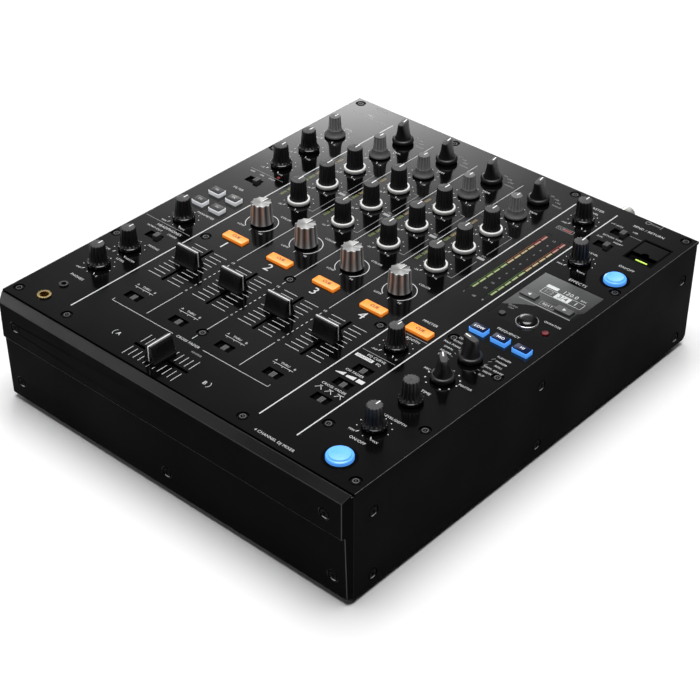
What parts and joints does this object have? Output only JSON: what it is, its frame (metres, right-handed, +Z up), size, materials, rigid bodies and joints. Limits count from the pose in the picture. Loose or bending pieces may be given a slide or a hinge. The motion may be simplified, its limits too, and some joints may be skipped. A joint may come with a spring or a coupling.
{
  "type": "dj mixer",
  "caption": "Flat tabletop DJ mixer: four channel strips of turning knobs, sliding faders, a crossfader, lit push buttons, meters and an effect section on a black metal case.",
  "frame": {"origin": "on the surface that the feet stand on, below the middle of the overall plan", "axes": "+X to the right of a person at the controls, +Y from the front edge to the rear sockets, +Z up out of the control panel"},
  "size_m": [0.32, 0.3879, 0.1079],
  "materials": {
    "panel_paint": "semi-gloss black",
    "case_paint": "fine satin black",
    "front_plastic": "satin moulded black",
    "foot_rubber": "matt",
    "screw_steel": "blackened",
    "socket_plastic": "satin",
    "window_plastic": "polished dark smoke",
    "board": "solder mask",
    "unit_plastic": "moulded",
    "knob_plastic": "soft satin black",
    "knob_aluminium": "turned and polished",
    "fader_plastic": "satin black",
    "switch_plastic": "satin grey",
    "cue_plastic": "lit amber",
    "button_plastic": "satin dark",
    "blue_plastic": "lit blue",
    "rocker_plastic": "gloss black",
    "flap_plastic": "satin black"
  },
  "bodies": {
    "case": {"chassis": "case_paint", "top_panel": "panel_paint", "front_panel": "front_plastic", "feet": "foot_rubber", "screws": "screw_steel", "sockets": "socket_plastic", "windows": "window_plastic", "circuit_boards": "board", "control_units": "unit_plastic"},
    "input_selector_knob_1": {"input_selector_knob_1": "knob_plastic"},
    "trim_knob_1": {"trim_knob_1": "knob_plastic"},
    "eq_high_knob_1": {"eq_high_knob_1": "knob_plastic"},
    "eq_mid_knob_1": {"eq_mid_knob_1": "knob_plastic"},
    "eq_low_knob_1": {"eq_low_knob_1": "knob_plastic"},
    "colour_knob_1": {"colour_knob_1": "knob_aluminium"},
    "input_selector_knob_2": {"input_selector_knob_2": "knob_plastic"},
    "trim_knob_2": {"trim_knob_2": "knob_plastic"},
    "eq_high_knob_2": {"eq_high_knob_2": "knob_plastic"},
    "eq_mid_knob_2": {"eq_mid_knob_2": "knob_plastic"},
    "eq_low_knob_2": {"eq_low_knob_2": "knob_plastic"},
    "colour_knob_2": {"colour_knob_2": "knob_aluminium"},
    "input_selector_knob_3": {"input_selector_knob_3": "knob_plastic"},
    "trim_knob_3": {"trim_knob_3": "knob_plastic"},
    "eq_high_knob_3": {"eq_high_knob_3": "knob_plastic"},
    "eq_mid_knob_3": {"eq_mid_knob_3": "knob_plastic"},
    "eq_low_knob_3": {"eq_low_knob_3": "knob_plastic"},
    "colour_knob_3": {"colour_knob_3": "knob_aluminium"},
    "input_selector_knob_4": {"input_selector_knob_4": "knob_plastic"},
    "trim_knob_4": {"trim_knob_4": "knob_plastic"},
    "eq_high_knob_4": {"eq_high_knob_4": "knob_plastic"},
    "eq_mid_knob_4": {"eq_mid_knob_4": "knob_plastic"},
    "eq_low_knob_4": {"eq_low_knob_4": "knob_plastic"},
    "colour_knob_4": {"colour_knob_4": "knob_aluminium"},
    "mic_level_knob": {"mic_level_knob": "knob_plastic"},
    "mic_high_knob": {"mic_high_knob": "knob_plastic"},
    "mic_low_knob": {"mic_low_knob": "knob_plastic"},
    "effect_parameter_knob": {"effect_parameter_knob": "knob_plastic"},
    "headphone_mixing_knob": {"headphone_mixing_knob": "knob_plastic"},
    "headphone_level_knob": {"headphone_level_knob": "knob_plastic"},
    "master_level_knob": {"master_level_knob": "knob_plastic"},
    "booth_level_knob": {"booth_level_knob": "knob_plastic"},
    "send_level_knob": {"send_level_knob": "knob_plastic"},
    "effect_select_knob": {"effect_select_knob": "knob_plastic"},
    "effect_channel_knob": {"effect_channel_knob": "knob_plastic"},
    "effect_time_knob": {"effect_time_knob": "knob_plastic"},
    "effect_depth_knob": {"effect_depth_knob": "knob_plastic"},
    "channel_fader_1": {"channel_fader_1": "fader_plastic"},
    "channel_fader_2": {"channel_fader_2": "fader_plastic"},
    "channel_fader_3": {"channel_fader_3": "fader_plastic"},
    "channel_fader_4": {"channel_fader_4": "fader_plastic"},
    "crossfader": {"crossfader": "fader_plastic"},
    "slide_switches": {"slide_switches": "switch_plastic"},
    "lever_switches": {"lever_switches": "switch_plastic"},
    "cue_buttons": {"cue_buttons": "cue_plastic"},
    "colour_effect_buttons": {"colour_effect_buttons": "button_plastic"},
    "beat_buttons": {"beat_buttons": "button_plastic"},
    "frequency_buttons": {"frequency_buttons": "button_plastic"},
    "on_off_buttons": {"on_off_buttons": "blue_plastic"},
    "power_rocker": {"power_rocker": "rocker_plastic"},
    "port_flap": {"port_flap": "flap_plastic"}
  },
  "joints": [
    {"name": "input_selector_knob_1_turn", "type": "hinge", "parent": "case", "child": "input_selector_knob_1", "pos_m": [-0.0875, 0.14805, 0.0887], "axis": [0, 0, 1], "range_deg": [-45, 22.5]},
    {"name": "trim_knob_1_turn", "type": "hinge", "parent": "case", "child": "trim_knob_1", "pos_m": [-0.0875, 0.12075, 0.0887], "axis": [0, 0, 1], "range_deg": [-150, 150]},
    {"name": "eq_high_knob_1_turn", "type": "hinge", "parent": "case", "child": "eq_high_knob_1", "pos_m": [-0.0875, 0.09225, 0.0887], "axis": [0, 0, 1], "range_deg": [-150, 150]},
    {"name": "eq_mid_knob_1_turn", "type": "hinge", "parent": "case", "child": "eq_mid_knob_1", "pos_m": [-0.0875, 0.06145, 0.0887], "axis": [0, 0, 1], "range_deg": [-150, 150]},
    {"name": "eq_low_knob_1_turn", "type": "hinge", "parent": "case", "child": "eq_low_knob_1", "pos_m": [-0.0875, 0.03045, 0.0887], "axis": [0, 0, 1], "range_deg": [-150, 150]},
    {"name": "colour_knob_1_turn", "type": "hinge", "parent": "case", "child": "colour_knob_1", "pos_m": [-0.0875, -0.00825, 0.0887], "axis": [0, 0, 1], "range_deg": [-150, 150]},
    {"name": "input_selector_knob_2_turn", "type": "hinge", "parent": "case", "child": "input_selector_knob_2", "pos_m": [-0.04425, 0.14805, 0.0887], "axis": [0, 0, 1], "range_deg": [-45, 22.5]},
    {"name": "trim_knob_2_turn", "type": "hinge", "parent": "case", "child": "trim_knob_2", "pos_m": [-0.04425, 0.12075, 0.0887], "axis": [0, 0, 1], "range_deg": [-150, 150]},
    {"name": "eq_high_knob_2_turn", "type": "hinge", "parent": "case", "child": "eq_high_knob_2", "pos_m": [-0.04425, 0.09225, 0.0887], "axis": [0, 0, 1], "range_deg": [-150, 150]},
    {"name": "eq_mid_knob_2_turn", "type": "hinge", "parent": "case", "child": "eq_mid_knob_2", "pos_m": [-0.04425, 0.06145, 0.0887], "axis": [0, 0, 1], "range_deg": [-150, 150]},
    {"name": "eq_low_knob_2_turn", "type": "hinge", "parent": "case", "child": "eq_low_knob_2", "pos_m": [-0.04425, 0.03045, 0.0887], "axis": [0, 0, 1], "range_deg": [-150, 150]},
    {"name": "colour_knob_2_turn", "type": "hinge", "parent": "case", "child": "colour_knob_2", "pos_m": [-0.04425, -0.00825, 0.0887], "axis": [0, 0, 1], "range_deg": [-150, 150]},
    {"name": "input_selector_knob_3_turn", "type": "hinge", "parent": "case", "child": "input_selector_knob_3", "pos_m": [-0.001, 0.14805, 0.0887], "axis": [0, 0, 1], "range_deg": [-45, 22.5]},
    {"name": "trim_knob_3_turn", "type": "hinge", "parent": "case", "child": "trim_knob_3", "pos_m": [-0.001, 0.12075, 0.0887], "axis": [0, 0, 1], "range_deg": [-150, 150]},
    {"name": "eq_high_knob_3_turn", "type": "hinge", "parent": "case", "child": "eq_high_knob_3", "pos_m": [-0.001, 0.09225, 0.0887], "axis": [0, 0, 1], "range_deg": [-150, 150]},
    {"name": "eq_mid_knob_3_turn", "type": "hinge", "parent": "case", "child": "eq_mid_knob_3", "pos_m": [-0.001, 0.06145, 0.0887], "axis": [0, 0, 1], "range_deg": [-150, 150]},
    {"name": "eq_low_knob_3_turn", "type": "hinge", "parent": "case", "child": "eq_low_knob_3", "pos_m": [-0.001, 0.03045, 0.0887], "axis": [0, 0, 1], "range_deg": [-150, 150]},
    {"name": "colour_knob_3_turn", "type": "hinge", "parent": "case", "child": "colour_knob_3", "pos_m": [-0.001, -0.00825, 0.0887], "axis": [0, 0, 1], "range_deg": [-150, 150]},
    {"name": "input_selector_knob_4_turn", "type": "hinge", "parent": "case", "child": "input_selector_knob_4", "pos_m": [0.04225, 0.14805, 0.0887], "axis": [0, 0, 1], "range_deg": [-45, 22.5]},
    {"name": "trim_knob_4_turn", "type": "hinge", "parent": "case", "child": "trim_knob_4", "pos_m": [0.04225, 0.12075, 0.0887], "axis": [0, 0, 1], "range_deg": [-150, 150]},
    {"name": "eq_high_knob_4_turn", "type": "hinge", "parent": "case", "child": "eq_high_knob_4", "pos_m": [0.04225, 0.09225, 0.0887], "axis": [0, 0, 1], "range_deg": [-150, 150]},
    {"name": "eq_mid_knob_4_turn", "type": "hinge", "parent": "case", "child": "eq_mid_knob_4", "pos_m": [0.04225, 0.06145, 0.0887], "axis": [0, 0, 1], "range_deg": [-150, 150]},
    {"name": "eq_low_knob_4_turn", "type": "hinge", "parent": "case", "child": "eq_low_knob_4", "pos_m": [0.04225, 0.03045, 0.0887], "axis": [0, 0, 1], "range_deg": [-150, 150]},
    {"name": "colour_knob_4_turn", "type": "hinge", "parent": "case", "child": "colour_knob_4", "pos_m": [0.04225, -0.00825, 0.0887], "axis": [0, 0, 1], "range_deg": [-150, 150]},
    {"name": "mic_level_knob_turn", "type": "hinge", "parent": "case", "child": "mic_level_knob", "pos_m": [-0.1334, 0.12075, 0.0887], "axis": [0, 0, 1], "range_deg": [-150, 150]},
    {"name": "mic_high_knob_turn", "type": "hinge", "parent": "case", "child": "mic_high_knob", "pos_m": [-0.1334, 0.09105, 0.0887], "axis": [0, 0, 1], "range_deg": [-150, 150]},
    {"name": "mic_low_knob_turn", "type": "hinge", "parent": "case", "child": "mic_low_knob", "pos_m": [-0.1334, 0.06045, 0.0887], "axis": [0, 0, 1], "range_deg": [-150, 150]},
    {"name": "effect_parameter_knob_turn", "type": "hinge", "parent": "case", "child": "effect_parameter_knob", "pos_m": [-0.1334, -0.04165, 0.0887], "axis": [0, 0, 1], "range_deg": [-150, 150]},
    {"name": "headphone_mixing_knob_turn", "type": "hinge", "parent": "case", "child": "headphone_mixing_knob", "pos_m": [-0.1334, -0.09445, 0.0887], "axis": [0, 0, 1], "range_deg": [-150, 150]},
    {"name": "headphone_level_knob_turn", "type": "hinge", "parent": "case", "child": "headphone_level_knob", "pos_m": [-0.1334, -0.12305, 0.0887], "axis": [0, 0, 1], "range_deg": [-150, 150]},
    {"name": "master_level_knob_turn", "type": "hinge", "parent": "case", "child": "master_level_knob", "pos_m": [0.0827, 0.14805, 0.0887], "axis": [0, 0, 1], "range_deg": [-150, 150]},
    {"name": "booth_level_knob_turn", "type": "hinge", "parent": "case", "child": "booth_level_knob", "pos_m": [0.0827, -0.05915, 0.0887], "axis": [0, 0, 1], "range_deg": [-150, 150]},
    {"name": "send_level_knob_turn", "type": "hinge", "parent": "case", "child": "send_level_knob", "pos_m": [0.1123, 0.10195, 0.0887], "axis": [0, 0, 1], "range_deg": [-150, 150]},
    {"name": "effect_select_knob_turn", "type": "hinge", "parent": "case", "child": "effect_select_knob", "pos_m": [0.127, -0.03775, 0.0887], "axis": [0, 0, 1], "range_deg": [-225, 67.5]},
    {"name": "effect_channel_knob_turn", "type": "hinge", "parent": "case", "child": "effect_channel_knob", "pos_m": [0.127, -0.06575, 0.0887], "axis": [0, 0, 1], "range_deg": [-135, 45]},
    {"name": "effect_time_knob_turn", "type": "hinge", "parent": "case", "child": "effect_time_knob", "pos_m": [0.127, -0.09695, 0.0887], "axis": [0, 0, 1], "continuous": true},
    {"name": "effect_depth_knob_turn", "type": "hinge", "parent": "case", "child": "effect_depth_knob", "pos_m": [0.127, -0.13145, 0.0887], "axis": [0, 0, 1], "range_deg": [-150, 150]},
    {"name": "channel_fader_1_slide", "type": "slide", "parent": "case", "child": "channel_fader_1", "axis": [0, 1, 0], "range_m": [-0.0235, 0.0215]},
    {"name": "channel_fader_2_slide", "type": "slide", "parent": "case", "child": "channel_fader_2", "axis": [0, 1, 0], "range_m": [-0.0235, 0.0215]},
    {"name": "channel_fader_3_slide", "type": "slide", "parent": "case", "child": "channel_fader_3", "axis": [0, 1, 0], "range_m": [-0.0235, 0.0215]},
    {"name": "channel_fader_4_slide", "type": "slide", "parent": "case", "child": "channel_fader_4", "axis": [0, 1, 0], "range_m": [-0.0235, 0.0215]},
    {"name": "crossfader_slide", "type": "slide", "parent": "case", "child": "crossfader", "axis": [1, 0, 0], "range_m": [-0.022, 0.023]},
    {"name": "slide_switches_slide", "type": "slide", "parent": "case", "child": "slide_switches", "axis": [1, 0, 0], "range_m": [-0.003, 0.003]},
    {"name": "lever_switches_slide", "type": "slide", "parent": "case", "child": "lever_switches", "axis": [1, 0, 0], "range_m": [-0.006, 0]},
    {"name": "cue_buttons_press", "type": "slide", "parent": "case", "child": "cue_buttons", "axis": [0, 0, -1], "range_m": [0, 0.001], "stiffness_N_per_m": 300, "springref_m": -0.001},
    {"name": "colour_effect_buttons_press", "type": "slide", "parent": "case", "child": "colour_effect_buttons", "axis": [0, 0, -1], "range_m": [0, 0.001], "stiffness_N_per_m": 300, "springref_m": -0.001},
    {"name": "beat_buttons_press", "type": "slide", "parent": "case", "child": "beat_buttons", "axis": [0, 0, -1], "range_m": [0, 0.001], "stiffness_N_per_m": 300, "springref_m": -0.001},
    {"name": "frequency_buttons_press", "type": "slide", "parent": "case", "child": "frequency_buttons", "axis": [0, 0, -1], "range_m": [0, 0.001], "stiffness_N_per_m": 300, "springref_m": -0.001},
    {"name": "on_off_buttons_press", "type": "slide", "parent": "case", "child": "on_off_buttons", "axis": [0, 0, -1], "range_m": [0, 0.001], "stiffness_N_per_m": 300, "springref_m": -0.001},
    {"name": "power_rocker_tip", "type": "hinge", "parent": "case", "child": "power_rocker", "pos_m": [0.131, 0.17665, 0.0615], "axis": [1, 0, 0], "range_deg": [0, 16]},
    {"name": "port_flap_hinge", "type": "hinge", "parent": "case", "child": "port_flap", "pos_m": [0.1419, 0.15375, 0.0872], "axis": [-1, 0, 0], "range_deg": [0, 95]}
  ]
}
